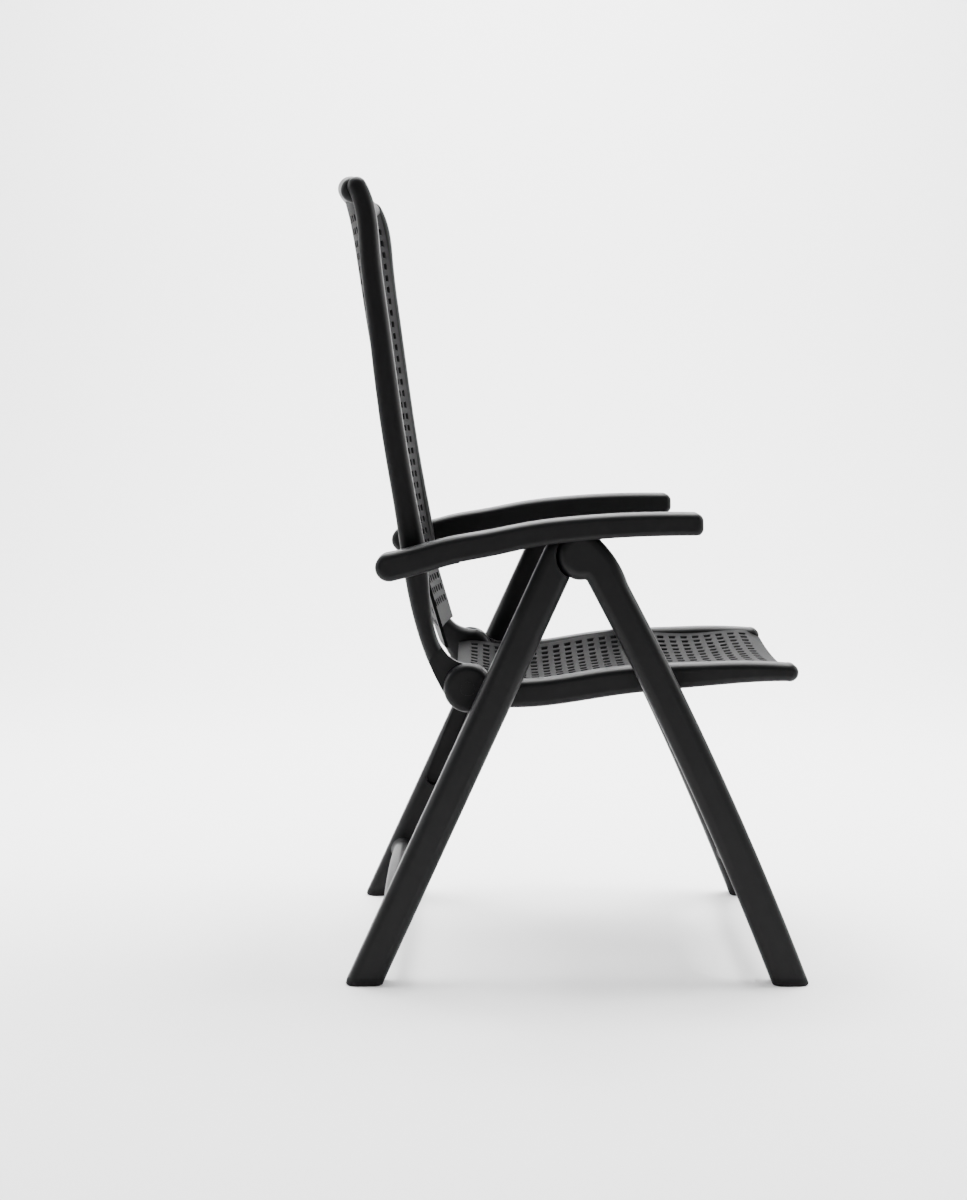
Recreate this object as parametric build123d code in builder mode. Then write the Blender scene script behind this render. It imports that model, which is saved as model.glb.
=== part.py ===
"""Folding, reclining garden armchair in moulded resin, five back positions.

Millimetres, +Z up, front towards -Y, origin on the floor under the middle.
Side outlines are drawn as (forward, up) from a named pivot.
The left side of the chair is at +X and is built first; the right side is its mirror image.
"""
import math
import os

from build123d import *

os.makedirs("parts", exist_ok=True)

# Widths across the chair
overall_width = 613.0
arm_width = 54.0
arm_wall = 3.6
slide_gap = 0.4
leg_width = 46.0
seat_side_gap = 0.5
seat_cheek_width = 16.0
cheek_gap = 0.4
back_cheek_width = 21.0
back_side_gap = 2.5
panel_side_gap = 0.3
running_gap = 0.05
overrun = 20.0

# Frame of the legs
apex_height = 586.0
apex_back_shift = 20.0
front_hub_radius = 33.0
rear_hub_radius = 26.0
lap_gap = 0.5
hub_gap = 1.0
leg_depth = 47.0
leg_edge_radius = 13.0
leg_wall = 4.0
leg_side_wall = 7.0
rear_leg_angle = 24.6
rear_leg_setback = 24.4
rear_leg_head = 18.0
rear_leg_head_radius = 32.0
rear_hub_edge_radius = 4.0
front_neck_forward = 42.8
front_neck_drop = 49.0
front_neck_angle = 27.9
front_foot_angle = 20.4
front_leg_bow_radius = 5000.0
front_shoulder_radius = 60.0
front_crotch_radius = 4.0
front_hub_angle = 140.0
front_relief_angle = 18.5
front_relief_turn_angle = 258.5
front_relief_radius = 90.0
foot_height = 11.0
foot_edge_radius = 3.0
foot_plug_height = 24.0
foot_plug_gap = 0.2
leg_cavity_top = 360.0

# Crossbars between the feet
crossbar_radius = 12.5
crossbar_flare_radius = 19.0
crossbar_flare_length = 30.0
crossbar_flare_shares = ((0.0, 1.0), (0.4, 0.3), (1.0, 0.0))
crossbar_arch = 20.0
crossbar_height = 75.0
crossbar_tenon_radius = 9.0
crossbar_tenon_length = 12.0
fit_gap = 0.1

# Fold, pins and slide groove
fold_travel = 37.5
seat_fold_ratio = 2.05
apex_pin_radius = 8.0
apex_pin_inset = 4.0
apex_pin_end_gap = 1.5
lock_pin_length = 34.0
lock_pin_radius = 4.5
lock_pin_rise = 31.0
lock_boss_radius = 8.5
lock_pin_inset = 6.0
seat_pivot_forward = 108.0
seat_pivot_height = 406.0
seat_pin_radius = 7.0
seat_pin_depth = 30.0
seat_pin_inset = 10.0
seat_spacer_radius = 12.5
spacer_gap = 0.3
slide_pin_forward = -119.0
slide_pin_height = 401.0
slide_pin_radius = 6.0
roller_radius = 11.0
roller_gap = 0.8
roller_face_gap = 1.0
slide_pin_grip = 12.0
groove_depth = 13.0
groove_floor_wall = 3.0
groove_run_out = 42.0

# Seat
hinge_forward = -153.0
hinge_height = 400.0
hub_radius = 33.5
hinge_pin_radius = 8.0
hinge_cap_radius = 9.6
hinge_cap_depth = 2.0
hinge_pin_inset = 4.0
seat_length = 454.5
seat_rail_shares = (
    (0.0, -0.003),
    (0.235, -0.0125),
    (0.43, 0.017),
    (0.717, 0.0407),
    (0.822, 0.0468),
    (0.9, 0.0485),
    (0.967, 0.0472),
)
seat_rail_heights = (38.6, 37.4, 37.5, 31.6, 28.9, 26.2, 24.0)
seat_tip_share = (1.0, 0.0465)
seat_panel_shares = (
    (-0.04, 0.028, 0.4),
    (0.07, 0.027, 0.8),
    (0.33, 0.037, 1.0),
    (0.64, 0.062, 0.9),
    (0.88, 0.0685, 0.6),
    (0.97, 0.062, 0.5),
    (1.0, 0.044, 0.45),
)
seat_rib_stations = (2, 3)
rail_edge_radius = 9.0
hub_edge_radius = 5.0
hub_clear_radius = 66.0
seat_panel_wall = 4.5
seat_dish = 24.0
seat_rib_height = 18.0
seat_rib_depth = 26.0
seat_rib_gap = 2.9
tenon_length = 8.0
tenon_inset = 4.0
rail_blend_radius = 22.0

# Back
back_length = 700.0
back_rail_shares = (
    (-0.0486, 0.0457),
    (-0.103, 0.237),
    (-0.117, 0.328),
    (-0.144, 0.486),
    (-0.1655, 0.643),
    (-0.1755, 0.723),
    (-0.192, 0.86),
    (-0.2035, 0.95),
    (-0.2165, 0.983),
)
back_tip_share = (-0.2236, 0.9986)
back_panel_shares = (0.075, 0.1, 0.25, 0.45, 0.65, 0.85, 0.985)
back_dish_shares = (0.4, 0.45, 0.6, 0.75, 0.87, 0.98, 1.0)
back_panel_inset = 4.0
back_rail_low = 34.5
back_rail_high = 26.0
back_edge_radius = 10.0
back_panel_wall = 4.5
back_dish = 36.0
back_blend_angle = 70.0
roll_radius = 17.5
roll_end_setback = 157.0
roll_end_rise = 683.0
roll_bow = 14.0
roll_bow_setback = 14.0
roll_gap = 0.2
roll_bow_half = 225.0
roll_tail = 13.0
roll_edge_radius = 8.0
recline_travel = 37.0

# Arms
arm_pivot_back = 71.0
arm_pivot_rise = 179.0
arm_length = 389.0
arm_shares = (
    (-0.09, -0.022),
    (0.0, 0.0),
    (0.118, 0.033),
    (0.257, 0.059),
    (0.388, 0.086),
    (0.558, 0.109),
    (0.82, 0.125),
    (1.0, 0.126),
)
arm_tail = 54.0
arm_tip_radius = 11.0
arm_height_rear = 38.0
arm_height_front = 31.0
arm_edge_radius = 8.0
arm_roof = 5.0
arm_cavity_start = 60.0
arm_tip_wall = 6.0
arm_pin_radius = 6.0
arm_pin_grip = 24.0
arm_pin_reach = 34.0
arm_washer_radius = 13.0
arm_recline_ratio = -0.65
rack_width = 13.0
rack_side_gap = 6.0
rack_tip_gap = 0.4
notch_radius = 5.0
notch_rise = 3.6
notch_count = 5
rack_end_length = 14.0

# Places across the chair that follow from the widths
arm_outer_x = overall_width / 2
arm_inner_x = arm_outer_x - arm_width
leg_outer_x = arm_outer_x - arm_wall - slide_gap
leg_inner_x = leg_outer_x - leg_width
leg_middle_x = (leg_outer_x + leg_inner_x) / 2
seat_outer_x = arm_inner_x - seat_side_gap
seat_cheek_x = seat_outer_x - seat_cheek_width
back_cheek_x = seat_cheek_x - cheek_gap
back_outer_x = arm_inner_x - back_side_gap
rail_inner_x = back_cheek_x - back_cheek_width
panel_half = rail_inner_x - panel_side_gap
leg_outer_half_x = leg_middle_x + lap_gap / 2
leg_inner_half_x = leg_middle_x - lap_gap / 2

apex = (0.0, apex_height)
seat_pivot = (seat_pivot_forward, seat_pivot_height)
slide_pin = (slide_pin_forward, slide_pin_height)
hinge = (hinge_forward, hinge_height)
arm_pivot = (hinge_forward - arm_pivot_back, hinge_height + arm_pivot_rise)


def side_plane(x):
    """Upright plane at x: local x runs forward from the apex, local y up, facing the middle."""
    return Plane(origin=(x, -apex_back_shift, 0), x_dir=(0, -1, 0), z_dir=(-1, 0, 0))


def turn(point, degrees, centre=(0.0, 0.0)):
    """Turn a side-view point about a centre, positive from up towards the back."""
    angle = math.radians(degrees)
    du = point[0] - centre[0]
    dz = point[1] - centre[1]
    turned_u = du * math.cos(angle) - dz * math.sin(angle)
    turned_z = du * math.sin(angle) + dz * math.cos(angle)
    return (centre[0] + turned_u, centre[1] + turned_z)


def shifted(point, forward, up):
    """Side-view point moved forward and up."""
    return (point[0] + forward, point[1] + up)


def along(centre_shares, length, pivot):
    """Centreline points from shares of a length, measured from a pivot."""
    return [shifted(pivot, a * length, b * length) for a, b in centre_shares]


def edge_points(points, halves, side):
    """Points a half-thickness to one side of a centreline."""
    found = []
    last = len(points) - 1
    for i, point in enumerate(points):
        before = points[max(i - 1, 0)]
        after = points[min(i + 1, last)]
        run = math.hypot(after[0] - before[0], after[1] - before[1])
        normal = (-(after[1] - before[1]) / run, (after[0] - before[0]) / run)
        found.append(shifted(point, side * halves[i] * normal[0], side * halves[i] * normal[1]))
    return found


def tapered(start, end, count):
    """Half-thicknesses that run evenly from a start to an end thickness."""
    return [(start + (end - start) * i / (count - 1)) / 2 for i in range(count)]


def between(shares, place):
    """Value at a place along a table of (place, value) shares."""
    for (low, low_value), (high, high_value) in zip(shares, shares[1:]):
        if place <= high:
            return low_value + (high_value - low_value) * (place - low) / (high - low)
    return shares[-1][1]


def write(builder, name):
    """Label a piece and write its STEP file."""
    builder.part.label = name
    export_step(builder.part, f"parts/{name}.step")


def write_pair(left, name):
    """Write a left piece and its mirror image on the right."""
    write(left, f"left_{name}")
    with BuildPart() as right:
        mirror(left.part, about=Plane.YZ)
    write(right, f"right_{name}")


def cross_pin(outer_x, length, point, radius):
    """Add a round pin along X, from its outer end inwards."""
    with BuildSketch(side_plane(outer_x)) as pin_end:
        with Locations(point):
            Circle(radius)
    extrude(pin_end.sketch, amount=length)


def cross_bore(outer_x, length, point, radius):
    """Cut a round bore along X, from its outer end inwards."""
    with BuildSketch(side_plane(outer_x)) as bore_end:
        with Locations(point):
            Circle(radius)
    extrude(bore_end.sketch, amount=length, mode=Mode.SUBTRACT)


def tilted_plane(x, point, lean):
    """Upright plane at x whose local y leans forward at the top, as a rear leg does."""
    angle = math.radians(lean)
    return Plane(
        origin=(x, -apex_back_shift - point[0], point[1]),
        x_dir=(0, -math.cos(angle), -math.sin(angle)),
        z_dir=(-1, 0, 0),
    )


def crosswise_plane(forward):
    """Upright plane across the chair: local x to the left side, local y up."""
    return Plane(origin=(0, -apex_back_shift - forward, 0), x_dir=(1, 0, 0), z_dir=(0, -1, 0))


def long_edges(builder):
    """Edges of the two faces that look left and right."""
    return builder.faces().filter_by(Axis.X).edges()


# Front leg: a bowed bar whose head closes over the apex pin
bow_centre = (
    front_neck_forward - front_leg_bow_radius * math.cos(math.radians(front_neck_angle)),
    apex_height - front_neck_drop - front_leg_bow_radius * math.sin(math.radians(front_neck_angle)),
)


def bow_point(offset, lean):
    """Point of the bowed front leg at a lean from upright, offset forward of its centreline."""
    reach = front_leg_bow_radius + offset
    angle = math.radians(lean)
    return shifted(bow_centre, reach * math.cos(angle), reach * math.sin(angle))


def bow_strip(half):
    """Draw the strip between the two edges of the bowed leg, from below the floor to the neck."""
    turned = front_neck_angle - front_foot_angle
    angles = [front_foot_angle + turned * share for share in (0.0, 0.25, 0.5, 0.75, 1.0)]
    with BuildLine() as strip:
        front_edge = Spline(*[bow_point(half, angle) for angle in angles])
        rear_edge = Spline(*[bow_point(-half, angle) for angle in angles])
        Line(front_edge @ 0, rear_edge @ 0)
        Line(front_edge @ 1, rear_edge @ 1)
    make_face(strip.edges())


def front_leg_forward(height):
    """Forward place of the front leg's centreline at a height."""
    lean = math.asin((height - bow_centre[1]) / front_leg_bow_radius)
    return bow_centre[0] + front_leg_bow_radius * math.cos(lean)


def rear_leg_forward(height):
    """Forward place of the rear leg's centreline at a height."""
    angle = math.radians(rear_leg_angle)
    drop = (apex_height + rear_leg_setback * math.sin(angle) - height) / math.cos(angle)
    return -drop * math.sin(angle) - rear_leg_setback * math.cos(angle)


def around_apex(angle, radius):
    """Point round the apex, the angle counted from straight down towards the front."""
    return shifted(apex, radius * math.sin(math.radians(angle)), -radius * math.cos(math.radians(angle)))


def leg_core(outer_x, width, leg_forward, shrink, corner_radius):
    """Make the straight core of a leg, from below the floor to the top of its hollow."""
    low = (leg_forward(-overrun), -overrun)
    high = (leg_forward(leg_cavity_top), leg_cavity_top)
    half = leg_depth / 2 - leg_side_wall - shrink
    sides = edge_points([low, high], [half, half], 1) + edge_points([high, low], [half, half], 1)
    with BuildPart() as core:
        with BuildSketch(side_plane(outer_x - shrink)) as core_outline:
            Polygon(*sides, align=None)
        extrude(core_outline.sketch, amount=width - 2 * shrink)
        fillet(long_edges(core).group_by(SortBy.LENGTH)[-1], corner_radius - shrink)
    return core.part


def below(height):
    """Make a slab that holds everything between a height and well below the floor."""
    with BuildPart() as slab:
        with BuildSketch(Plane.XY.offset(height)):
            Rectangle(2 * overall_width, 2 * overall_width)
        extrude(amount=-height - 2 * leg_width)
    return slab.part


def foot(blank, core):
    """Make a foot cap from the lowest slice of a leg and a plug that fits the leg's hollow."""
    with BuildPart() as cap:
        add(blank)
        add(below(foot_height), mode=Mode.INTERSECT)
        add(below(0), mode=Mode.SUBTRACT)
        fillet(cap.faces().sort_by(Axis.Z)[0].edges(), foot_edge_radius)
    with BuildPart() as plug:
        add(core)
        add(below(foot_height + foot_plug_height), mode=Mode.INTERSECT)
        add(below(foot_height), mode=Mode.SUBTRACT)
        add(cap.part)
    return plug


def crossbar(place):
    """Make a round bar between two legs, arched up in the middle, with flared ends and tenons."""
    leg_face = Vector(leg_inner_x, -apex_back_shift - place[0], place[1])
    middle = Vector(0, leg_face.Y, leg_face.Z + crossbar_arch)
    centreline = ThreePointArc((-leg_face.X, leg_face.Y, leg_face.Z), middle, leg_face)
    waist = 1 - crossbar_flare_length / centreline.length
    half_bar = ThreePointArc(middle, centreline @ ((1 / 2 + waist) / 2), centreline @ waist)
    level = Plane.XZ.z_dir
    with BuildPart() as bar:
        with BuildSketch(Plane(middle, x_dir=level, z_dir=half_bar % 0)) as bar_section:
            Circle(crossbar_radius)
        sweep(bar_section.sketch, path=half_bar)
        flare = []
        for place_share, flare_share in crossbar_flare_shares:
            across = 1 - (1 - waist) * place_share
            facing = centreline % across if place_share else Plane.YZ.z_dir
            with BuildSketch(Plane(centreline @ across, x_dir=level, z_dir=facing)) as flare_section:
                Circle(crossbar_radius + (crossbar_flare_radius - crossbar_radius) * flare_share)
            flare.append(flare_section.sketch)
        loft(flare)
        cross_pin(leg_inner_x + crossbar_tenon_length, crossbar_tenon_length, place, crossbar_tenon_radius)
        mirror(about=Plane.YZ)
    return bar


shoulder = bow_point(leg_depth / 2, front_neck_angle)
crotch = bow_point(-leg_depth / 2, front_neck_angle)
neck_angle = math.radians(front_neck_angle)
neck_rise = (crotch[0] - apex[0]) * math.sin(neck_angle) + (apex[1] - crotch[1]) * math.cos(neck_angle)
hub_rear = shifted(crotch, -neck_rise * math.sin(neck_angle), neck_rise * math.cos(neck_angle))
hub_front = around_apex(front_hub_angle, front_hub_radius)
hub_front_way = (-math.cos(math.radians(front_hub_angle)), -math.sin(math.radians(front_hub_angle)))
front_bar_place = (front_leg_forward(crossbar_height), crossbar_height)
rear_bar_place = (rear_leg_forward(crossbar_height), crossbar_height)
core_radius = leg_edge_radius - leg_wall
core_x = leg_outer_x - leg_wall

with BuildPart() as front_blank:
    with BuildSketch(side_plane(leg_outer_x)) as front_outline:
        with Locations(apex):
            Circle(front_hub_radius)
        with BuildLine() as neck:
            TangentArc(hub_front, shoulder, tangent=hub_front_way)
            Polyline(shoulder, crotch, hub_rear, hub_front)
        make_face(neck.edges())
        bow_strip(leg_depth / 2)
        fillet(front_outline.vertices().sort_by_distance(shoulder)[0], front_shoulder_radius)
        hub_bottom = around_apex(0, front_hub_radius)
        fillet(front_outline.vertices().sort_by_distance(hub_bottom)[0], front_crotch_radius)
    extrude(amount=leg_width)
    fillet(long_edges(front_blank), leg_edge_radius)

with BuildPart() as front_leg:
    add(front_blank.part)
    add(below(foot_height), mode=Mode.SUBTRACT)
    add(leg_core(core_x, leg_width - 2 * leg_wall, front_leg_forward, 0, core_radius), mode=Mode.SUBTRACT)
    with BuildSketch(side_plane(leg_outer_half_x)) as lap:
        with Locations(apex):
            Circle(rear_hub_radius + lap_gap)
        relief_angles = [front_relief_angle - front_relief_turn_angle * i / 4 for i in range(5)]
        Polygon(apex, *[around_apex(angle, front_relief_radius) for angle in relief_angles], align=None)
    extrude(amount=leg_width, mode=Mode.SUBTRACT)
    with BuildSketch(side_plane(leg_outer_x - leg_edge_radius)) as lock_boss:
        with Locations(shifted(apex, 0, lock_pin_rise)):
            Circle(lock_boss_radius)
    extrude(amount=leg_outer_x - leg_edge_radius - leg_outer_half_x)
    lock_place = shifted(apex, 0, lock_pin_rise)
    cross_bore(leg_outer_x - lock_pin_inset, leg_width, lock_place, lock_pin_radius + running_gap)
    cross_bore(leg_outer_x - apex_pin_inset, leg_width, apex, apex_pin_radius + running_gap)
    cross_bore(leg_inner_x + seat_pin_depth, leg_width, seat_pivot, seat_pin_radius + running_gap)
    cross_bore(leg_middle_x, leg_width, front_bar_place, crossbar_tenon_radius + running_gap)
write_pair(front_leg, "front_leg")
plug_core = leg_core(core_x, leg_width - 2 * leg_wall, front_leg_forward, foot_plug_gap, core_radius)
write_pair(foot(front_blank.part, plug_core), "front_foot")
write(crossbar(front_bar_place), "front_crossbar")

# Rear leg: a straight bar whose round tongue turns inside the front leg's head
rear_side = -rear_leg_setback - leg_depth / 2
front_side = rear_side + leg_depth
rear_leg_low = -(apex_height + leg_depth) / math.cos(math.radians(rear_leg_angle))
rear_leg_corners = (
    (rear_side, rear_leg_head),
    (front_side, rear_leg_head),
    (front_side, rear_leg_low),
    (rear_side, rear_leg_low),
)
with BuildPart() as rear_blank:
    with BuildSketch(tilted_plane(leg_outer_x, apex, rear_leg_angle)) as rear_outline:
        Polygon(*rear_leg_corners, align=None)
        fillet(rear_outline.vertices().sort_by_distance(rear_leg_corners[0])[0], rear_leg_head_radius)
    extrude(amount=leg_width)
    fillet(long_edges(rear_blank), leg_edge_radius)

with BuildPart() as tongue:
    cross_pin(leg_inner_half_x, leg_inner_half_x - leg_inner_x, apex, rear_hub_radius)
    fillet(tongue.faces().sort_by(Axis.X)[0].edges(), rear_hub_edge_radius)

groove_path = [turn(turn(slide_pin, fold * seat_fold_ratio, seat_pivot), -fold, apex)
               for fold in (0, fold_travel / 2, fold_travel)]
with BuildPart() as rear_leg:
    add(rear_blank.part)
    add(below(foot_height), mode=Mode.SUBTRACT)
    with BuildSketch(side_plane(leg_outer_x)):
        with Locations(apex):
            Circle(front_hub_radius + hub_gap)
    extrude(amount=leg_outer_x - leg_inner_half_x, mode=Mode.SUBTRACT)
    add(tongue.part)
    rear_core_width = leg_width - leg_wall - groove_depth - groove_floor_wall
    add(leg_core(core_x, rear_core_width, rear_leg_forward, 0, core_radius), mode=Mode.SUBTRACT)
    with BuildSketch(side_plane(leg_inner_x + groove_depth)) as groove:
        with BuildLine() as groove_line:
            slide_arc = ThreePointArc(*groove_path)
            Line(slide_arc @ 1, (slide_arc @ 1) + (slide_arc % 1) * groove_run_out)
        SlotArc(groove_line.wires()[0], 2 * (roller_radius + roller_gap))
    extrude(amount=groove_depth + overrun, mode=Mode.SUBTRACT)
    cross_bore(leg_outer_x - apex_pin_inset, leg_width, apex, apex_pin_radius + running_gap)
    tenon_bore_x = leg_inner_x + crossbar_tenon_length + fit_gap
    cross_bore(tenon_bore_x, leg_width, rear_bar_place, crossbar_tenon_radius + running_gap)
write_pair(rear_leg, "rear_leg")
plug_core = leg_core(core_x, rear_core_width, rear_leg_forward, foot_plug_gap, core_radius)
write_pair(foot(rear_blank.part, plug_core), "rear_foot")
write(crossbar(rear_bar_place), "rear_crossbar")

# Pins of the two leg frames
pin_end_x = leg_inner_x + seat_pin_depth - fit_gap
with BuildPart() as apex_pin:
    apex_pin_x = leg_outer_x - apex_pin_inset - fit_gap
    cross_pin(apex_pin_x, apex_pin_x - leg_inner_x - apex_pin_end_gap, apex, apex_pin_radius)
write_pair(apex_pin, "apex_pin")

with BuildPart() as lock_pin:
    lock_pin_x = leg_outer_x - lock_pin_inset - fit_gap
    cross_pin(lock_pin_x, lock_pin_length, lock_place, lock_pin_radius)
write_pair(lock_pin, "lock_pin")

with BuildPart() as seat_pivot_pin:
    cross_pin(pin_end_x, pin_end_x - rail_inner_x - seat_pin_inset, seat_pivot, seat_pin_radius)
write_pair(seat_pivot_pin, "seat_pivot_pin")

with BuildPart() as seat_spacer:
    spacer_length = leg_inner_x - seat_outer_x - 2 * spacer_gap
    cross_pin(leg_inner_x - spacer_gap, spacer_length, seat_pivot, seat_spacer_radius)
    cross_bore(leg_inner_x, leg_width, seat_pivot, seat_pin_radius + running_gap)
write_pair(seat_spacer, "seat_spacer")


def bar_outline(points, halves, tip):
    """Draw the side outline of a tapering bar from its centreline, with a rounded tip."""
    with BuildLine() as outline:
        upper = Spline(*edge_points(points, halves, 1))
        lower = Spline(*edge_points(points, halves, -1))
        Line(upper @ 0, lower @ 0)
        ThreePointArc(upper @ 1, tip, lower @ 1)
    make_face(outline.edges())


def hub_clearance(outer_x, width):
    """Cut away the part of a rail that would meet the other rail's cheek at the seat hinge."""
    with BuildSketch(side_plane(outer_x)) as clearance:
        with Locations(hinge):
            Circle(hub_clear_radius)
    extrude(clearance.sketch, amount=width, mode=Mode.SUBTRACT)


def crescent(plane, half_width, middle, dish, wall):
    """Draw a dished section on a plane: a band between two arcs, level at both sides."""
    with BuildSketch(plane) as section:
        with BuildLine() as band:
            near = ThreePointArc((-half_width, middle), (0, middle - dish), (half_width, middle))
            under = middle - wall
            far = ThreePointArc((-half_width, under), (0, under - dish), (half_width, under))
            Line(near @ 0, far @ 0)
            Line(near @ 1, far @ 1)
        make_face(band.edges())
    return section.sketch


# Seat: two rails that carry the dished panel over two ribs
rail_points = along(seat_rail_shares, seat_length, hinge)
rail_halves = [height / 2 for height in seat_rail_heights]
with BuildPart() as seat_rail:
    with BuildSketch(side_plane(seat_outer_x)) as seat_rail_outline:
        bar_outline(rail_points, rail_halves, along([seat_tip_share], seat_length, hinge)[0])
        with Locations(hinge):
            Circle(hub_radius)
        for side in (1, -1):
            inner_corner = shifted(hinge, hub_radius, side * rail_halves[0])
            fillet(seat_rail_outline.vertices().sort_by_distance(inner_corner)[0], rail_blend_radius)
    extrude(amount=seat_outer_x - rail_inner_x)
    fillet(long_edges(seat_rail), rail_edge_radius)
    hub_clearance(seat_cheek_x, seat_outer_x)
    cross_bore(seat_outer_x, seat_outer_x, hinge, hinge_pin_radius + running_gap)
    cross_bore(seat_outer_x, hinge_cap_depth, hinge, hinge_cap_radius + running_gap)
    pivot_bore_length = seat_outer_x - rail_inner_x - seat_pin_inset + fit_gap
    cross_bore(seat_outer_x, pivot_bore_length, seat_pivot, seat_pin_radius + running_gap)
    cross_bore(seat_outer_x, slide_pin_grip, slide_pin, slide_pin_radius + running_gap)

with BuildPart() as seat_panel:
    sections = []
    for place, rise, dish_share in seat_panel_shares:
        edge = shifted(hinge, place * seat_length, rise * seat_length)
        across = crosswise_plane(edge[0])
        sections.append(crescent(across, panel_half, edge[1], seat_dish * dish_share, seat_panel_wall))
    loft(sections)
write(seat_panel, "seat_panel")


def seat_rib(station):
    """Make a cross rib under the seat panel, bowed as its dish is and tenoned into both rails."""
    place, rise, dish_share = seat_panel_shares[station]
    edge = shifted(hinge, place * seat_length, rise * seat_length)
    top = edge[1] - seat_panel_wall - seat_rib_gap
    with BuildPart() as rib:
        extrude(crescent(crosswise_plane(edge[0] + seat_rib_depth / 2), rail_inner_x, top,
                         seat_dish * dish_share, seat_rib_height), amount=-seat_rib_depth)
        with BuildSketch(Plane.YZ.offset(rail_inner_x)) as tenon:
            with Locations((-apex_back_shift - edge[0], top - seat_rib_height / 2)):
                tenon_height = seat_rib_height - 2 * tenon_inset
                RectangleRounded(seat_rib_depth - 2 * tenon_inset, tenon_height, tenon_inset)
        extrude(tenon.sketch, amount=tenon_length)
        mirror(rib.part, about=Plane.YZ)
    return rib


rear_rib = seat_rib(seat_rib_stations[0])
front_rib = seat_rib(seat_rib_stations[1])
write(rear_rib, "rear_seat_rib")
write(front_rib, "front_seat_rib")
with BuildPart() as drilled_seat_rail:
    add(seat_rail.part)
    add(rear_rib.part, mode=Mode.SUBTRACT)
    add(front_rib.part, mode=Mode.SUBTRACT)
write_pair(drilled_seat_rail, "seat_rail")

with BuildPart() as slide_pin_piece:
    slide_end_x = leg_inner_x + groove_depth - roller_face_gap
    slide_pin_length = slide_end_x - seat_outer_x + slide_pin_grip - fit_gap
    cross_pin(slide_end_x, slide_pin_length, slide_pin, slide_pin_radius)
write_pair(slide_pin_piece, "slide_pin")

with BuildPart() as slide_roller:
    cross_pin(slide_end_x, slide_end_x - leg_inner_x - roller_face_gap, slide_pin, roller_radius)
    cross_bore(slide_end_x, leg_width, slide_pin, slide_pin_radius + running_gap)
write_pair(slide_roller, "slide_roller")

with BuildPart() as hinge_pin:
    hinge_pin_x = seat_outer_x - hinge_cap_depth + fit_gap
    cross_pin(hinge_pin_x, hinge_pin_x - rail_inner_x - hinge_pin_inset, hinge, hinge_pin_radius)
    cross_pin(seat_outer_x, hinge_cap_depth - fit_gap, hinge, hinge_cap_radius)
write_pair(hinge_pin, "hinge_pin")

# Back: two rails, the roll across their tops and the dished panel between them
back_points = along(back_rail_shares, back_length, hinge)
back_halves = tapered(back_rail_low, back_rail_high, len(back_points))
roll_end = shifted(hinge, -roll_end_setback, roll_end_rise)
roll_middle = shifted(roll_end, -roll_bow_setback, roll_bow)


def roll_solid(radius, half_length, tail):
    """Make the bowed round bar across the top of the back, with straight tails."""
    ends = [(side * half_length, -apex_back_shift - roll_end[0], roll_end[1]) for side in (-1, 1)]
    middle = (0, -apex_back_shift - roll_middle[0], roll_middle[1])
    with BuildPart() as roll:
        with BuildLine() as roll_path:
            bow = ThreePointArc(ends[0], middle, ends[1])
            Line((bow @ 0) - (bow % 0) * tail, bow @ 0)
            Line(bow @ 1, (bow @ 1) + (bow % 1) * tail)
        with BuildSketch(Plane((bow @ 0) - (bow % 0) * tail, z_dir=bow % 0)) as roll_end_circle:
            Circle(radius)
        sweep(roll_end_circle.sketch, path=roll_path.wires()[0])
    return roll


with BuildPart() as back_top_roll:
    add(roll_solid(roll_radius, roll_bow_half, roll_tail).part)
    fillet(back_top_roll.faces().filter_by(GeomType.PLANE).edges(), roll_edge_radius)
write(back_top_roll, "back_top_roll")
roll_cutter = roll_solid(roll_radius + roll_gap, roll_bow_half, roll_tail + roll_gap)

with BuildPart() as back_rail:
    with BuildSketch(side_plane(back_outer_x)) as back_rail_outline:
        rear_edge = edge_points(back_points, back_halves, 1)
        front_edge = edge_points(back_points, back_halves, -1)
        touch = math.degrees(math.atan2(rear_edge[1][1] - hinge[1], rear_edge[1][0] - hinge[0]))
        touch += math.degrees(math.acos(hub_radius / math.dist(hinge, rear_edge[1])))
        rear_touch = turn(shifted(hinge, hub_radius, 0), touch, hinge)
        front_touch = turn(shifted(hinge, hub_radius, 0), back_blend_angle, hinge)
        with BuildLine():
            Spline(front_touch, *front_edge)
            Spline(rear_touch, *rear_edge[1:])
            ThreePointArc(front_edge[-1], along([back_tip_share], back_length, hinge)[0], rear_edge[-1])
            ThreePointArc(front_touch, shifted(hinge, 0, -hub_radius), rear_touch)
        make_face()
    extrude(amount=back_outer_x - rail_inner_x)
    fillet(long_edges(back_rail), back_edge_radius)
    hub_clearance(back_outer_x, back_outer_x - back_cheek_x)
    add(roll_cutter.part, mode=Mode.SUBTRACT)
    hinge_bore_length = back_cheek_x - rail_inner_x - hinge_pin_inset + fit_gap
    cross_bore(back_cheek_x, hinge_bore_length, hinge, hinge_pin_radius + running_gap)
    cross_bore(back_outer_x, arm_pin_grip, arm_pivot, arm_pin_radius + running_gap)
write_pair(back_rail, "back_rail")

with BuildPart() as back_panel:
    sections = []
    for height_share, dish_share in zip(back_panel_shares, back_dish_shares):
        height = height_share * back_length
        setback = between([(rise, back) for back, rise in back_rail_shares], height_share) * back_length
        half = between([(rise, h) for (back, rise), h in zip(back_rail_shares, back_halves)], height_share)
        front = hinge_forward + setback + half - back_panel_inset
        level = Plane(origin=(0, -apex_back_shift, hinge_height + height), x_dir=(-1, 0, 0), z_dir=(0, 0, 1))
        sections.append(crescent(level, panel_half, front, back_dish * dish_share, back_panel_wall))
    loft(sections)
    add(roll_cutter.part, mode=Mode.SUBTRACT)
write(back_panel, "back_panel")

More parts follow.
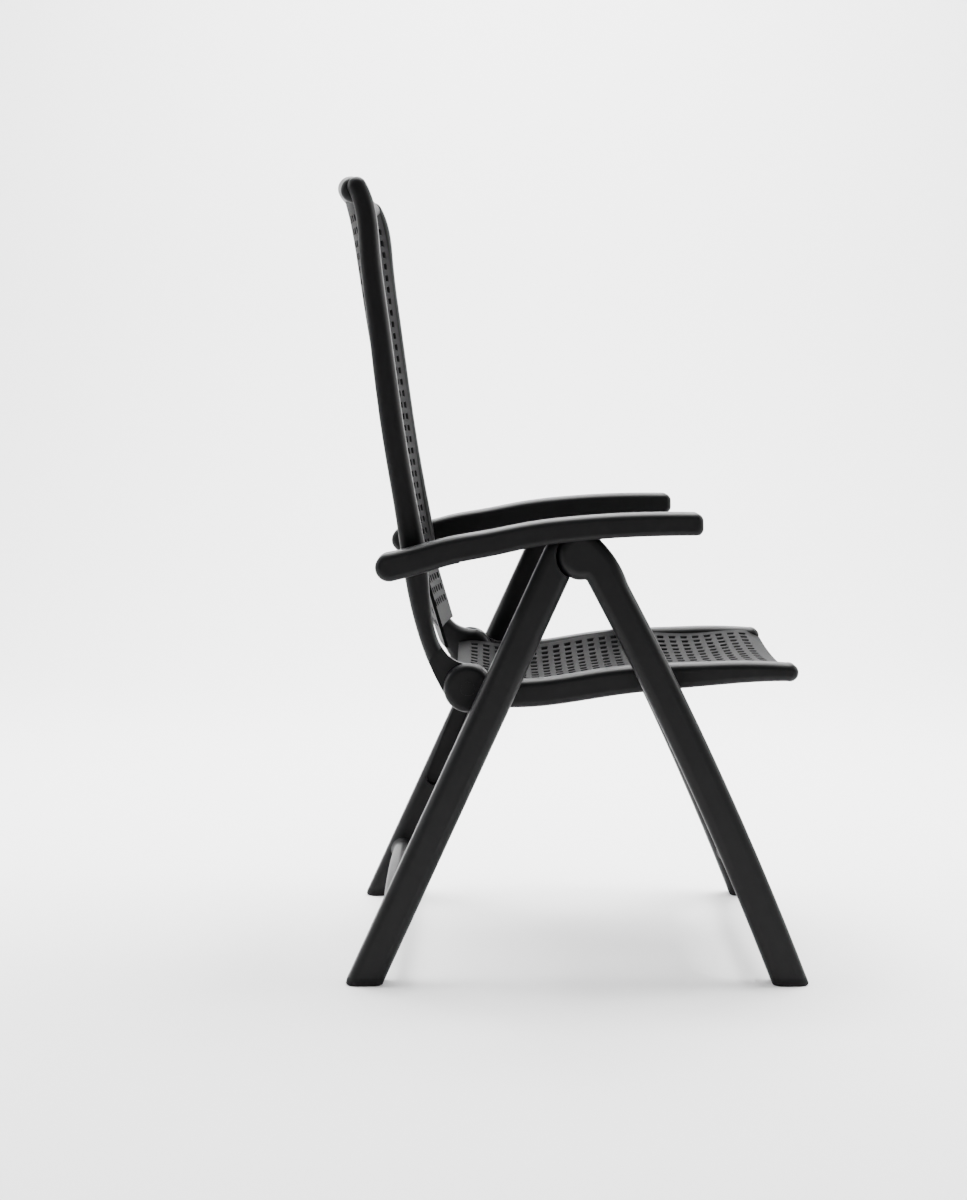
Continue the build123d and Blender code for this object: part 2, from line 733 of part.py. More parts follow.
# Arms: channels that straddle the leg heads, each hung on the back and held by a notched rack
arm_points = along(arm_shares, arm_length, arm_pivot)
arm_halves = tapered(arm_height_rear, arm_height_front, len(arm_points))
arm_tail_point = shifted(arm_pivot, -arm_tail, arm_shares[0][1] * arm_length)
with BuildPart() as arm:
    with BuildSketch(side_plane(arm_outer_x)) as arm_outline:
        with BuildLine() as arm_edges:
            upper = Spline(*edge_points(arm_points, arm_halves, 1))
            lower = Spline(*edge_points(arm_points, arm_halves, -1))
            ThreePointArc(upper @ 0, arm_tail_point, lower @ 0)
            Line(upper @ 1, lower @ 1)
        make_face(arm_edges.edges())
        fillet(arm_outline.vertices().sort_by(Axis.X)[-2:], arm_tip_radius)
    extrude(amount=arm_width)
    fillet(long_edges(arm), arm_edge_radius)
    with BuildSketch(side_plane(arm_outer_x - arm_wall)) as channel:
        roof_points = edge_points(arm_points, [half - arm_roof for half in arm_halves], 1)
        sunk_points = edge_points(arm_points, [half + overrun for half in arm_halves], -1)
        with BuildLine() as channel_edges:
            upper = Spline(*roof_points)
            lower = Spline(*sunk_points)
            Line(upper @ 0, lower @ 0)
            Line(upper @ 1, lower @ 1)
        make_face(channel_edges.edges())
        channel_length = arm_length - arm_cavity_start - arm_tip_wall
        with Locations(shifted(arm_pivot, arm_cavity_start + channel_length / 2, 0)):
            Rectangle(channel_length, arm_length, mode=Mode.INTERSECT)
    extrude(channel.sketch, amount=arm_width - 2 * arm_wall, mode=Mode.SUBTRACT)
    cross_bore(arm_inner_x + arm_pin_reach, arm_width, arm_pivot, arm_pin_radius + running_gap)
write_pair(arm, "arm")


def lock_pin_in_arm(recline):
    """Place of the lock pin in the upright arm's frame when the back is reclined by an angle."""
    moved_pivot = turn(arm_pivot, recline, hinge)
    reach = (lock_place[0] - moved_pivot[0], lock_place[1] - moved_pivot[1])
    return shifted(arm_pivot, *turn(reach, -recline * (1 + arm_recline_ratio)))


with BuildPart() as arm_rack:
    rack_outer_x = arm_inner_x + arm_wall + rack_side_gap + rack_width
    with BuildSketch(side_plane(rack_outer_x)) as rack_outline:
        notch_angles = [recline_travel * i / (notch_count - 1) for i in range(notch_count)]
        pin_places = [lock_pin_in_arm(angle) for angle in notch_angles]
        clearance = lock_pin_radius + rack_tip_gap
        underside = [shifted(pin_places[0], -rack_end_length, clearance)]
        underside += [shifted(place, 0, clearance) for place in pin_places]
        underside += [shifted(pin_places[-1], rack_end_length, clearance)]
        with BuildLine() as rack_edges:
            upper = Spline(*edge_points(arm_points, [half - arm_roof - fit_gap for half in arm_halves], 1))
            lower = Spline(*edge_points(arm_points, [half + overrun for half in arm_halves], -1))
            Line(upper @ 0, lower @ 0)
            Line(upper @ 1, lower @ 1)
        make_face(rack_edges.edges())
        with BuildSketch(mode=Mode.PRIVATE) as rack_body:
            with BuildLine() as body_edges:
                teeth = Spline(*underside)
                front_top = shifted(underside[-1], 0, arm_height_rear)
                rear_top = shifted(underside[0], 0, arm_height_rear)
                Polyline(teeth @ 1, front_top, rear_top, teeth @ 0)
            make_face(body_edges.edges())
            with Locations(*[shifted(place, 0, notch_rise) for place in pin_places]):
                Circle(notch_radius, mode=Mode.SUBTRACT)
        add(rack_body.sketch, mode=Mode.INTERSECT)
    extrude(amount=rack_width)
write_pair(arm_rack, "arm_rack")

with BuildPart() as arm_pin:
    arm_pin_x = arm_inner_x + arm_pin_reach - fit_gap
    cross_pin(arm_pin_x, arm_pin_x - back_outer_x + arm_pin_grip - fit_gap, arm_pivot, arm_pin_radius)
write_pair(arm_pin, "arm_pin")

with BuildPart() as arm_washer:
    washer_length = arm_inner_x - back_outer_x - 2 * spacer_gap
    cross_pin(arm_inner_x - spacer_gap, washer_length, arm_pivot, arm_washer_radius)
    cross_bore(arm_inner_x, arm_width, arm_pivot, arm_pin_radius + running_gap)
write_pair(arm_washer, "arm_washer")
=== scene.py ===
"""Looks of a folding, reclining garden armchair in moulded anthracite resin.

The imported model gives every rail, leg, arm and pin. This file dresses them and adds the two
perforated panels, a pale studio and the camera. Sizes are in millimetres until they reach a mesh.
"""

import logging
import math
from dataclasses import dataclass, field
from enum import Enum

import bpy
import numpy as np
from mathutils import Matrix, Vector
from mathutils.bvhtree import BVHTree

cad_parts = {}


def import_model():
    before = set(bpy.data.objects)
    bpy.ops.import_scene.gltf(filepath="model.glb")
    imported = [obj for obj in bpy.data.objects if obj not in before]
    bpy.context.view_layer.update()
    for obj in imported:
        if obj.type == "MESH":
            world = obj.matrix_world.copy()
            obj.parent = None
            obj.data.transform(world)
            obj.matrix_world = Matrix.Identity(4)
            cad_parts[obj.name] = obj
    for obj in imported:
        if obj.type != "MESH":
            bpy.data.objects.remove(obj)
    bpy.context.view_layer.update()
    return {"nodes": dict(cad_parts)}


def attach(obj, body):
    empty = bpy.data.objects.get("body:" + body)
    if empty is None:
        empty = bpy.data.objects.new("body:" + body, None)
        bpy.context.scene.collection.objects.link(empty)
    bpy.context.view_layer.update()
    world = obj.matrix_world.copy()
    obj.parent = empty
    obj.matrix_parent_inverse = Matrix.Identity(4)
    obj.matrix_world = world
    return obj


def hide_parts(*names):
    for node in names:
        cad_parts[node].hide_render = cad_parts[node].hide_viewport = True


log = logging.getLogger("armchair")
MM = 0.001


def linear(hex_colour: str) -> tuple[float, float, float, float]:
    """Turn an sRGB hex colour into Blender's linear colour.

    Args:
        hex_colour: Six hex digits after a hash.

    Returns:
        Linear red, green, blue and an alpha of one.
    """
    values = np.array([int(hex_colour[i:i + 2], 16) for i in (1, 3, 5)]) / 255.0
    curved = np.where(values <= 0.04045, values / 12.92, ((values + 0.055) / 1.055) ** 2.4)
    return (*curved.tolist(), 1.0)


def add_node(material: bpy.types.Material, kind: str, settings: dict | None = None,
             links: dict | None = None) -> bpy.types.Node:
    """Add one shader node with its socket values, its properties and its incoming links.

    Args:
        material: The material whose tree gets the node.
        kind: Blender's name of the node type.
        settings: Socket values by input name, or node properties by attribute name.
        links: Output sockets of other nodes by input name.

    Returns:
        The new node.
    """
    node = material.node_tree.nodes.new(kind)
    for name, value in (settings or {}).items():
        if name in node.inputs:
            node.inputs[name].default_value = value
        else:
            setattr(node, name, value)
    for name, socket in (links or {}).items():
        material.node_tree.links.new(socket, node.inputs[name])
    return node


def empty_material(title: str) -> bpy.types.Material:
    """Make a material whose node tree is empty.

    Args:
        title: Name of the material.

    Returns:
        The new material.
    """
    material = bpy.data.materials.new(title)
    material.use_nodes = True
    material.node_tree.nodes.clear()
    return material


@dataclass(frozen=True)
class MouldedFinish:
    """A moulded polymer skin: an even colour, a faint mottle, and a fine grain from the tool.

    The grain of the real skin is about a fifth of a millimetre, too fine to show, so it is drawn
    coarser. It breaks up the highlights and makes the surface look dry rather than lacquered.
    """

    title: str
    colour: str
    mottle: str
    roughness: float
    ior: float
    grain_mm: float
    grain_depth_mm: float
    specular: float = 0.5
    mottle_mm: float = 38.0
    mottle_detail: float = 4.0
    mottle_roughness: float = 0.6
    grain_detail: float = 3.0
    grain_roughness: float = 0.55
    grain_low: float = 0.3
    grain_high: float = 0.7
    roughness_swing: float = 0.05
    bump_strength: float = 0.6

    def tone(self, material: bpy.types.Material, place: bpy.types.Node) -> bpy.types.NodeSocket:
        """Mix the two colours by the mottle.

        A Mix node has a set of sockets for each kind of data, so its colours are taken by number.

        Args:
            material: The material whose tree gets the nodes.
            place: The texture coordinates.

        Returns:
            The socket that gives the mixed colour.
        """
        first_colour, second_colour, mixed_colour = 6, 7, 2
        mottle = add_node(material, "ShaderNodeTexNoise",
                          {"Scale": 1 / (self.mottle_mm * MM), "Detail": self.mottle_detail,
                           "Roughness": self.mottle_roughness},
                          {"Vector": place.outputs["Object"]})
        tone = material.node_tree.nodes.new("ShaderNodeMix")
        tone.data_type = "RGBA"
        tone.inputs[first_colour].default_value = linear(self.colour)
        tone.inputs[second_colour].default_value = linear(self.mottle)
        material.node_tree.links.new(mottle.outputs["Fac"], tone.inputs[0])
        return tone.outputs[mixed_colour]

    def make(self) -> bpy.types.Material:
        """Build the material from this finish."""
        material = empty_material(self.title)
        place = add_node(material, "ShaderNodeTexCoord")
        tone = self.tone(material, place)
        grain = add_node(material, "ShaderNodeTexNoise",
                         {"Scale": 1 / (self.grain_mm * MM), "Detail": self.grain_detail,
                          "Roughness": self.grain_roughness},
                         {"Vector": place.outputs["Object"]})
        sheen = add_node(material, "ShaderNodeMapRange",
                         {"From Min": self.grain_low, "From Max": self.grain_high,
                          "To Min": self.roughness - self.roughness_swing,
                          "To Max": self.roughness + self.roughness_swing},
                         {"Value": grain.outputs["Fac"]})
        bump = add_node(material, "ShaderNodeBump",
                        {"Strength": self.bump_strength, "Distance": self.grain_depth_mm * MM},
                        {"Height": grain.outputs["Fac"]})
        skin = add_node(material, "ShaderNodeBsdfPrincipled",
                        {"IOR": self.ior, "Specular IOR Level": self.specular},
                        {"Base Color": tone, "Roughness": sheen.outputs["Result"],
                         "Normal": bump.outputs["Normal"]})
        add_node(material, "ShaderNodeOutputMaterial", None, {"Surface": skin.outputs["BSDF"]})
        return material


@dataclass(frozen=True)
class DrawnSteel:
    """Drawn stainless steel rod: bright, with fine lines round it from the die."""

    title: str
    colour: str
    roughness: float
    line_mm: float
    line_detail: float = 2.0
    line_stretch: tuple = (1.0, 0.05, 0.05)
    smoother: float = 0.08
    rougher: float = 0.1
    bump_strength: float = 0.3
    line_depth_mm: float = 0.02

    def make(self) -> bpy.types.Material:
        """Build the material from this finish."""
        material = empty_material(self.title)
        place = add_node(material, "ShaderNodeTexCoord")
        along = add_node(material, "ShaderNodeMapping", {"Scale": self.line_stretch},
                         {"Vector": place.outputs["Object"]})
        lines = add_node(material, "ShaderNodeTexNoise",
                         {"Scale": 1 / (self.line_mm * MM), "Detail": self.line_detail},
                         {"Vector": along.outputs["Vector"]})
        sheen = add_node(material, "ShaderNodeMapRange",
                         {"To Min": self.roughness - self.smoother,
                          "To Max": self.roughness + self.rougher},
                         {"Value": lines.outputs["Fac"]})
        bump = add_node(material, "ShaderNodeBump",
                        {"Strength": self.bump_strength, "Distance": self.line_depth_mm * MM},
                        {"Height": lines.outputs["Fac"]})
        metal = add_node(material, "ShaderNodeBsdfPrincipled",
                         {"Metallic": 1.0, "Base Color": linear(self.colour)},
                         {"Roughness": sheen.outputs["Result"], "Normal": bump.outputs["Normal"]})
        add_node(material, "ShaderNodeOutputMaterial", None, {"Surface": metal.outputs["BSDF"]})
        return material


class Finish(Enum):
    """The finishes of the chair, each a real material and the way its surface was made."""

    FRAME = MouldedFinish("glass_filled_polypropylene_frame", "#0b0b0c", "#0f0f10",
                          roughness=0.46, ior=1.49, grain_mm=0.9, grain_depth_mm=0.05, specular=0.16)
    PANEL = MouldedFinish("glass_filled_polypropylene_panel", "#0e0e0f", "#131314",
                          roughness=0.6, ior=1.49, grain_mm=1.1, grain_depth_mm=0.06, specular=0.05)
    FOOT = MouldedFinish("moulded_elastomer_foot", "#0c0c0d", "#101011",
                         roughness=0.66, ior=1.5, grain_mm=1.4, grain_depth_mm=0.08, specular=0.15)
    SLIDER = MouldedFinish("acetal_slider", "#1b1b1d", "#202022",
                           roughness=0.34, ior=1.48, grain_mm=1.6, grain_depth_mm=0.02)
    PIN = DrawnSteel("drawn_stainless_pin", "#b9babc", roughness=0.3, line_mm=0.8)


class Dresser:
    """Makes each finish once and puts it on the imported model's nodes."""

    def __init__(self) -> None:
        """Build every material."""
        self.materials = {finish: finish.value.make() for finish in Finish}

    def dress(self, thing: bpy.types.Object, finish: Finish) -> None:
        """Give an object one finish in place of all its slots."""
        thing.data.materials.clear()
        thing.data.materials.append(self.materials[finish])

    def finish_of(self, node: str) -> Finish:
        """Choose the finish of a node from its name."""
        if node.endswith("foot"):
            return Finish.FOOT
        if node.endswith(("spacer", "washer", "roller")):
            return Finish.SLIDER
        if node.endswith("pin") and "hinge" not in node:
            return Finish.PIN
        return Finish.FRAME

    def dress_nodes(self, nodes: dict[str, bpy.types.Object]) -> None:
        """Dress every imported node."""
        for name, node in nodes.items():
            self.dress(node, self.finish_of(name))
        log.info("dressed %d packed nodes", len(nodes))


def smooth_table(at: np.ndarray, places: np.ndarray, values: np.ndarray) -> np.ndarray:
    """Read a table at many places with a cubic that keeps each entry and its mean slope.

    Between two entries the value is the cubic Hermite curve of the two values and their slopes,
    and a slope is the centred difference of the entries beside it.

    Args:
        at: Places to read.
        places: Rising places of the entries.
        values: Values of the entries.

    Returns:
        The value at each place.
    """
    slopes = np.gradient(values, places)
    low = np.clip(np.searchsorted(places, at, side="right") - 1, 0, len(places) - 2)
    span = places[low + 1] - places[low]
    s = np.clip((at - places[low]) / span, 0.0, 1.0)
    return (
        (2 * s**3 - 3 * s**2 + 1) * values[low]
        + (s**3 - 2 * s**2 + s) * span * slopes[low]
        + (3 * s**2 - 2 * s**3) * values[low + 1]
        + (s**3 - s**2) * span * slopes[low + 1]
    )


def mesh_object(name: str, points: np.ndarray, faces: np.ndarray,
                smooth_angle: float) -> bpy.types.Object:
    """Put points and faces into a new object at the origin.

    Args:
        name: Name of the piece.
        points: Points in millimetres, one row each.
        faces: Corner numbers, one row a face.
        smooth_angle: Largest angle in degrees that is shaded smooth.

    Returns:
        The new object, linked to the scene.
    """
    mesh = bpy.data.meshes.new(name)
    mesh.from_pydata((points * MM).tolist(), [], faces.tolist())
    mesh.validate()
    mesh.shade_smooth()
    mesh.set_sharp_from_angle(angle=math.radians(smooth_angle))
    thing = bpy.data.objects.new(name, mesh)
    bpy.context.scene.collection.objects.link(thing)
    return thing


@dataclass
class PackedSurface:
    """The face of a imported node, met by straight rays."""

    node: bpy.types.Object
    start: float = 2000.0

    def __post_init__(self) -> None:
        """Put the node's triangles into a search tree."""
        mesh = self.node.data
        corners = [vertex.co for vertex in mesh.vertices]
        self.tree = BVHTree.FromPolygons(corners, [tuple(face.vertices) for face in mesh.polygons])
        self.low = np.min(corners, axis=0) / MM
        self.high = np.max(corners, axis=0) / MM

    def meet(self, points: np.ndarray, way: tuple) -> np.ndarray:
        """Send one ray the same way through each point.

        Args:
            points: Points in millimetres, one row each.
            way: Unit direction of the rays.

        Returns:
            Where each ray first meets the node, in millimetres.
        """
        starts = (points - np.array(way) * self.start) * MM
        return np.array([self.tree.ray_cast(Vector(start), Vector(way))[0] for start in starts]) / MM


def spread(start: float, end: float, count: int) -> np.ndarray:
    """Give places from start to end that lie closer together towards both ends."""
    return start + (end - start) * (1 - np.cos(np.linspace(0, math.pi, count))) / 2


@dataclass
class FaceBatch:
    """Points and four-cornered faces, gathered step by step."""

    points: list = field(default_factory=list)
    faces: list = field(default_factory=list)
    count: int = 0

    def add(self, points: np.ndarray, corners: np.ndarray) -> None:
        """Add points, and faces whose corners count from the first of those points."""
        rows = points.reshape(-1, 3)
        self.points.append(rows)
        self.faces.append(corners.reshape(-1, 4) + self.count)
        self.count += len(rows)

    def add_grid(self, grid: np.ndarray, flipped: bool = False) -> None:
        """Add the faces of a grid of points with two directions, on request turned over."""
        rows, columns = grid.shape[:2]
        index = np.arange(rows * columns).reshape(rows, columns)
        quads = np.stack([index[:-1, :-1], index[1:, :-1], index[1:, 1:], index[:-1, 1:]], -1)
        self.add(grid, quads[..., ::-1] if flipped else quads)

    def merged(self, decimals: int = 3) -> tuple[np.ndarray, np.ndarray]:
        """Join the points that coincide.

        Args:
            decimals: Decimals to which points have to agree.

        Returns:
            The points, and the faces' corner numbers.
        """
        rounded = np.round(np.concatenate(self.points), decimals)
        unique, where = np.unique(rounded, axis=0, return_inverse=True)
        return unique, where.reshape(-1)[np.concatenate(self.faces)]


@dataclass
class PerforatedPanel:
    """A dished sheet with rows of small slots, as one closed surface.

    The sheet is a surface of two lengths: s across the chair from its middle, and t along the
    panel's edge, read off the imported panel. Every slot sits in its own tile, and a tile is four
    bands of faces: flat top, rounded rim, slot wall and flat underside. While it is built, a
    point is (s, t, depth below the face).
    """

    node: bpy.types.Object
    name: str
    body: str
    probe_inset: float = 0.8
    stations: int = 36
    samples: int = 400
    wall: float = 4.5
    columns: int = 19
    pitch: float = 21.4
    row_pitch: float = 18.0
    slot_across: float = 11.0
    slot_along: float = 9.6
    corner: float = 2.0
    rim: float = 0.7
    rows: int = 24
    first_row: float = 22.0
    end_inset: float = 0.2
    on_side: float = 0.01
    smooth_angle: float = 35.0
    behind: tuple = (0.0, 0.0, -1.0)

    def edge_table(self) -> tuple[np.ndarray, np.ndarray, np.ndarray]:
        """Give places along Y, heights and dish depths of the panel's side edge, closely spaced."""
        raise NotImplementedError

    def surface(self, s: np.ndarray, t: np.ndarray) -> np.ndarray:
        """Give the points of the sheet's face at s and t."""
        raise NotImplementedError

    def measure(self) -> None:
        """Measure the side edge, so that t is a length along it."""
        self.packed = PackedSurface(self.node)
        self.half_width = float(self.packed.high[0])
        self.edge_y, self.edge_z, self.edge_dish = self.edge_table()
        steps = np.hypot(np.diff(self.edge_y), np.diff(self.edge_z))
        self.edge_t = np.concatenate([[0.0], np.cumsum(steps)])
        self.length = float(self.edge_t[-1])

    def sag(self, s: np.ndarray, t: np.ndarray) -> np.ndarray:
        """Depth of the dish at s and t: a circle's arc through both edges and the deepest point."""
        dish = np.interp(t, self.edge_t, self.edge_dish)
        radius = (self.half_width**2 + dish**2) / (2 * dish)
        return np.sqrt(radius**2 - s**2) - (radius - dish)

    def rounded_ring(self, half: np.ndarray, cut: float) -> np.ndarray:
        """Give the points round a rounded rectangle, three at each corner.

        Args:
            half: Half its sizes along s and t.
            cut: Radius of its corners.

        Returns:
            Twelve points, one row each.
        """
        pull = cut * (1 - math.sqrt(0.5))
        quarter = half - np.array([(0.0, cut), (pull, pull), (cut, 0.0)])
        flips = np.array([(1, 1), (-1, 1), (-1, -1), (1, -1)])
        return np.concatenate([quarter[::order] * flip for flip, order in zip(flips, (1, -1, 1, -1))])

    def tile(self) -> np.ndarray:
        """Give the rings of one tile about its slot's middle, from the top to the underside."""
        half_slot = np.array([self.slot_across, self.slot_along]) / 2
        half_tile = np.array([self.pitch, self.row_pitch]) / 2
        hole = self.rounded_ring(half_slot, self.corner)
        rim = self.rounded_ring(half_slot + self.rim, self.corner + self.rim)
        side = np.where(np.abs(rim) > half_slot + self.rim - self.on_side, np.sign(rim), 0)
        diagonal = ~side.any(axis=1)
        side[diagonal] = np.sign(rim[diagonal])
        outer = np.where(side != 0, side * half_tile, rim)
        levels = ((outer, 0.0), (rim, 0.0), (hole, self.rim), (hole, self.wall), (outer, self.wall))
        return np.stack([np.column_stack([ring, np.full(len(ring), depth)]) for ring, depth in levels])

    def add_tiles(self, batch: FaceBatch) -> tuple[np.ndarray, np.ndarray]:
        """Add a tile for every slot.

        Args:
            batch: What the faces are added to.

        Returns:
            Where the tiles' outer points lie along s, and where along t.
        """
        column_s = (np.arange(self.columns) - (self.columns - 1) / 2) * self.pitch
        row_t = self.first_row + np.arange(self.rows) * self.row_pitch
        slot_s, slot_t = np.meshgrid(column_s, row_t, indexing="ij")
        middles = np.stack([slot_s, slot_t, np.zeros_like(slot_s)], -1).reshape(-1, 1, 1, 3)
        tile = self.tile()
        tiles = middles + tile
        index = np.arange(len(tiles) * tile[..., 0].size).reshape(tiles.shape[:3])
        after = np.roll(index, -1, axis=2)
        batch.add(tiles, np.stack([index[:, :-1], after[:, :-1], after[:, 1:], index[:, 1:]], -1))
        outer = np.round(tiles[:, 0], 4)
        return np.unique(outer[..., 0]), np.unique(outer[..., 1])

    def add_margin(self, batch: FaceBatch, field_s: np.ndarray, field_t: np.ndarray) -> None:
        """Add the plain face and underside round the slots, and the sheet's outer edge.

        Args:
            batch: What the faces are added to.
            field_s: Where the tiles' outer points lie along s.
            field_t: Where the tiles' outer points lie along t.
        """
        all_s = np.concatenate([[-self.half_width], field_s, [self.half_width]])
        all_t = np.concatenate([[0.0], field_t, [self.length]])
        below = np.array([0.0, 0.0, self.wall])
        for s_lines, t_lines in (
            (all_s[:2], all_t),
            (all_s[-2:], all_t),
            (field_s, all_t[:2]),
            (field_s, all_t[-2:]),
        ):
            grid_s, grid_t = np.meshgrid(s_lines, t_lines, indexing="ij")
            flat = np.stack([grid_s, grid_t, np.zeros_like(grid_s)], -1)
            batch.add_grid(flat)
            batch.add_grid(flat + below, flipped=True)
        loop = np.concatenate([
            np.stack([all_s[:-1], np.zeros(len(all_s) - 1)], -1),
            np.stack([np.full(len(all_t) - 1, self.half_width), all_t[:-1]], -1),
            np.stack([all_s[:0:-1], np.full(len(all_s) - 1, self.length)], -1),
            np.stack([np.full(len(all_t) - 1, -self.half_width), all_t[:0:-1]], -1),
        ])
        count = len(loop)
        top = np.column_stack([loop, np.zeros(count)])
        index = np.arange(count)
        after = (index + 1) % count
        walls = np.stack([after, index, index + count, after + count], -1)
        batch.add(np.concatenate([top, top + below]), walls)

    def build(self) -> bpy.types.Object:
        """Make the panel's mesh.

        Returns:
            The panel's object.
        """
        self.measure()
        batch = FaceBatch()
        self.add_margin(batch, *self.add_tiles(batch))
        keys, corners = batch.merged()
        s, t, deep = keys.T
        points = self.surface(s, t) + np.array(self.behind) * deep[:, None]
        thing = mesh_object(self.name, points, corners, self.smooth_angle)
        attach(thing, self.body)
        log.info("%s: %d slots, %d faces", self.name, self.rows * self.columns, len(corners))
        return thing


@dataclass
class SeatPanel(PerforatedPanel):
    """The dished seat, with its front edge turned down."""

    name: str = "perforated_seat"
    body: str = "seat"
    columns: int = 16
    pitch: float = 25.4
    row_pitch: float = 18.25
    slot_across: float = 13.4
    slot_along: float = 10.2
    first_row: float = 25.2

    def edge_table(self) -> tuple[np.ndarray, np.ndarray, np.ndarray]:
        """Give the seat's side edge from its rear to its turned-down front."""
        rear = self.packed.high[1] - self.end_inset
        front = self.packed.low[1] + self.end_inset
        places = spread(rear, front, self.stations)
        none = np.zeros(self.stations)
        edge, middle = (
            self.packed.meet(np.stack([none + x, places, none], -1), self.behind)[:, 2]
            for x in (self.half_width - self.probe_inset, 0.0)
        )
        at = np.linspace(-rear, -front, self.samples)
        return -at, smooth_table(at, -places, edge), smooth_table(at, -places, edge - middle)

    def surface(self, s: np.ndarray, t: np.ndarray) -> np.ndarray:
        """Points of the seat: the side edge carried across, lowered by the dish."""
        y = np.interp(t, self.edge_t, self.edge_y)
        z = np.interp(t, self.edge_t, self.edge_z) - self.sag(s, t)
        return np.stack([-s, y, z], -1)


@dataclass
class BackPanel(PerforatedPanel):
    """The dished back, hung between the two back rails, with its top end inside the roll."""

    name: str = "perforated_back"
    body: str = "back"
    samples: int = 500
    rows: int = 33
    first_row: float = 34.0
    behind: tuple = (0.0, 1.0, 0.0)
    roll_cover: float = 12.0

    def edge_table(self) -> tuple[np.ndarray, np.ndarray, np.ndarray]:
        """Give the back's side edge from its lower lip to the roll, and straight on into the roll."""
        bottom = self.packed.low[2] + self.end_inset
        under_roll = self.packed.high[2] - self.roll_cover
        heights = spread(bottom, under_roll, self.stations)
        none = np.zeros(self.stations)
        edge, middle = (
            self.packed.meet(np.stack([none + x, none, heights], -1), self.behind)[:, 1]
            for x in (self.half_width - self.probe_inset, 0.0)
        )
        lean = (edge[-1] - edge[-2]) / (heights[-1] - heights[-2])
        dish = np.append(middle - edge, middle[-1] - edge[-1])
        edge = np.append(edge, edge[-1] + lean * self.roll_cover)
        heights = np.append(heights, heights[-1] + self.roll_cover)
        at = np.linspace(heights[0], heights[-1], self.samples)
        return smooth_table(at, heights, edge), at, smooth_table(at, heights, dish)

    def surface(self, s: np.ndarray, t: np.ndarray) -> np.ndarray:
        """Points of the back: the side edge carried across, pushed rearwards by the dish."""
        y = np.interp(t, self.edge_t, self.edge_y) + self.sag(s, t)
        z = np.interp(t, self.edge_t, self.edge_z)
        return np.stack([s, y, z], -1)


@dataclass(frozen=True)
class Softbox:
    """A soft square lamp. Its place, its aim and its side are in metres, its power in watts."""

    name: str
    place: tuple
    aim: tuple
    side: float
    power: float

    def build(self) -> None:
        """Make the lamp."""
        light = bpy.data.lights.new(self.name, "AREA")
        light.shape = "SQUARE"
        light.size = self.side
        light.energy = self.power
        thing = bpy.data.objects.new(self.name, light)
        thing.location = self.place
        thing.rotation_euler = (Vector(self.aim) - Vector(self.place)).to_track_quat("-Z", "Y").to_euler()
        bpy.context.scene.collection.objects.link(thing)


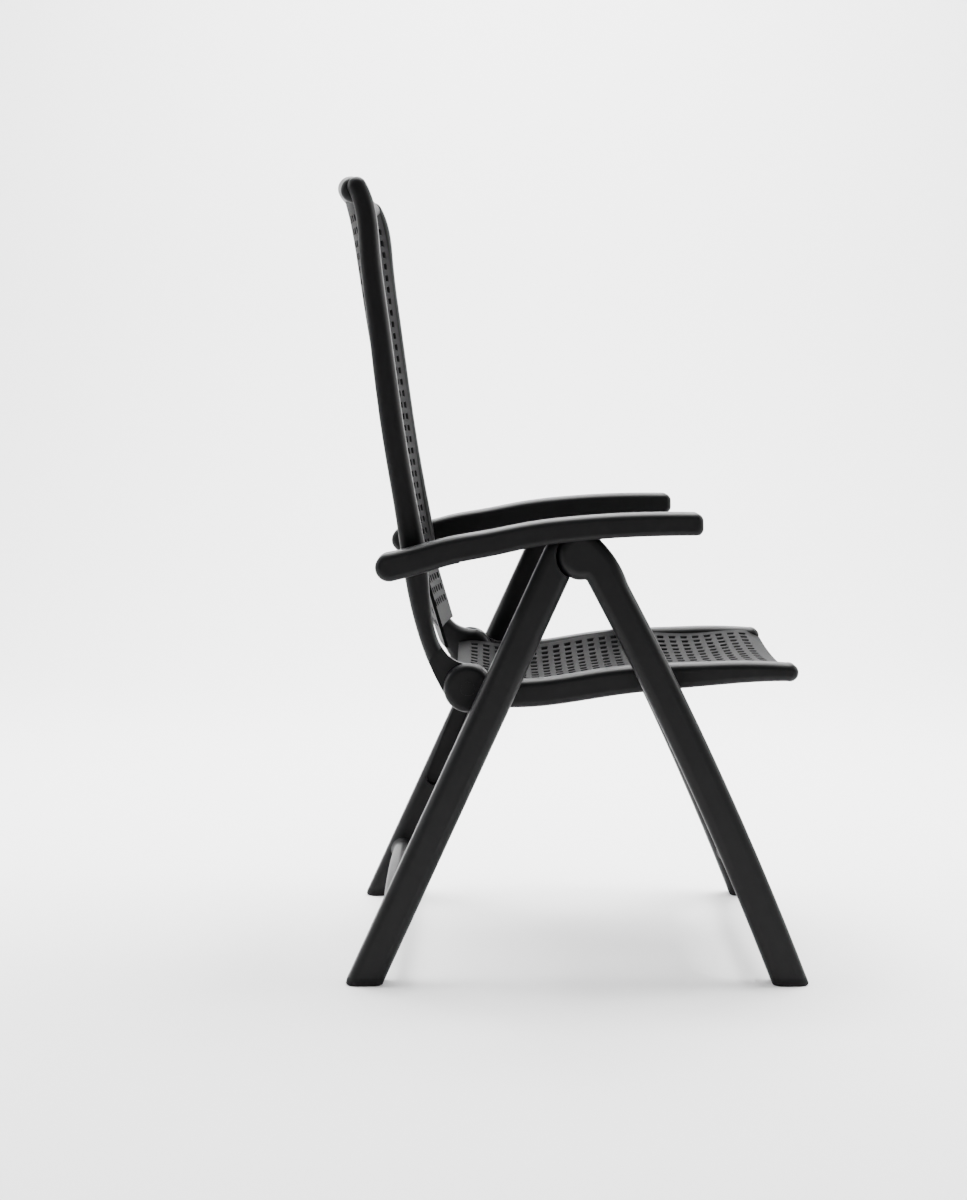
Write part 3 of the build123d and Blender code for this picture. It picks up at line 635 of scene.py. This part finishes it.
@dataclass
class Studio:
    """Pale seamless studio: one sheet that is the floor and curves up behind the chair."""

    near_reach: float = 6000.0
    side_reach: float = 6300.0
    wall_distance: float = 2600.0
    bend_radius: float = 1200.0
    bend_points: int = 24
    wall_height: float = 4000.0
    sheet_colour: str = "#fbfbfb"
    sheet_roughness: float = 0.8
    smooth_angle: float = 60.0
    air_colour: str = "#f6f6f7"
    near_level: float = 0.22
    far_level: float = 1.8
    level_reach: float = 0.9
    softboxes: tuple = (
        Softbox("overhead_softbox", (1.0, 0.0, 3.4), (0.5, 0.0, 0.0), 3.0, 385.0),
        Softbox("front_softbox", (0.3, -3.0, 1.9), (0.0, 0.0, 0.6), 1.4, 90.0),
        Softbox("rear_softbox", (0.3, 3.0, 1.9), (0.0, 0.0, 0.6), 1.4, 70.0),
        Softbox("backdrop_softbox", (1.6, 0.0, 3.4), (3.7, 0.0, 1.2), 2.4, 260.0),
    )

    def lay_sheet(self) -> None:
        """Make the floor and backdrop: a line, a quarter circle and a line, carried along Y."""
        turn = np.linspace(0, math.pi / 2, self.bend_points)
        bend_x = self.wall_distance + self.bend_radius * np.sin(turn)
        bend_z = self.bend_radius * (1 - np.cos(turn))
        profile_x = np.concatenate([[-self.near_reach], bend_x, bend_x[-1:]])
        profile_z = np.concatenate([[0.0], bend_z, [self.wall_height]])
        grid_x, grid_y = np.meshgrid(profile_x, [-self.side_reach, self.side_reach], indexing="ij")
        grid_z = np.repeat(profile_z[:, None], 2, axis=1)
        batch = FaceBatch()
        batch.add_grid(np.stack([grid_x, grid_y, grid_z], -1))
        thing = mesh_object("studio_sheet", batch.points[0], batch.faces[0], self.smooth_angle)
        paper = bpy.data.materials.new("matte_studio_sheet")
        paper.use_nodes = True
        skin = paper.node_tree.nodes["Principled BSDF"]
        skin.inputs["Base Color"].default_value = linear(self.sheet_colour)
        skin.inputs["Roughness"].default_value = self.sheet_roughness
        thing.data.materials.append(paper)

    def light_room(self) -> None:
        """Make the room's soft light: pale behind the chair, dimmer on the side it is seen from."""
        world = bpy.data.worlds.new("studio_air")
        world.use_nodes = True
        tree = world.node_tree
        air = tree.nodes["Background"]
        air.inputs["Color"].default_value = linear(self.air_colour)
        way = tree.nodes.new("ShaderNodeTexCoord")
        parts = tree.nodes.new("ShaderNodeSeparateXYZ")
        level = tree.nodes.new("ShaderNodeMapRange")
        level.interpolation_type = "SMOOTHSTEP"
        for name, value in (("From Min", -self.level_reach), ("From Max", self.level_reach),
                            ("To Min", self.near_level), ("To Max", self.far_level)):
            level.inputs[name].default_value = value
        tree.links.new(way.outputs["Generated"], parts.inputs["Vector"])
        tree.links.new(parts.outputs["X"], level.inputs["Value"])
        tree.links.new(level.outputs["Result"], air.inputs["Strength"])
        bpy.context.scene.world = world

    def build(self) -> None:
        """Make the sheet, the room's light and the lamps."""
        self.lay_sheet()
        self.light_room()
        for softbox in self.softboxes:
            softbox.build()


@dataclass
class Viewpoint:
    """Camera at the photograph's viewing angle: level with the arms, square to the chair's side.

    Its place is in metres. It looks along +X, turned down and aside by pixels of the image.
    """

    place: tuple = (-3.4251, 0.1075, 0.8192)
    focal_pixels: float = 2325.6
    image_height: float = 1200.0
    sensor_mm: float = 36.0
    down_pixels: float = 109.1
    side_pixels: float = 3.0
    shift: float = -0.09

    def build(self) -> None:
        """Make the camera and set it as the scene's own."""
        data = bpy.data.cameras.new("side_camera")
        data.sensor_width = self.sensor_mm
        data.lens = self.focal_pixels / self.image_height * self.sensor_mm
        data.shift_y = self.shift
        thing = bpy.data.objects.new("side_camera", data)
        thing.location = self.place
        look = Vector((self.focal_pixels, self.side_pixels, -self.down_pixels))
        thing.rotation_euler = look.to_track_quat("-Z", "Y").to_euler()
        bpy.context.scene.collection.objects.link(thing)
        bpy.context.scene.camera = thing


def main() -> None:
    """Build the dressed chair in its studio."""
    logging.basicConfig(level=logging.INFO, format="%(message)s")
    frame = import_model()
    dresser = Dresser()
    dresser.dress_nodes(frame["nodes"])
    for kind, node in ((SeatPanel, "seat_panel"), (BackPanel, "back_panel")):
        thing = kind(frame["nodes"][node]).build()
        dresser.dress(thing, Finish.PANEL)
        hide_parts(node)
    Studio().build()
    Viewpoint().build()


if __name__ == "__main__":
    main()
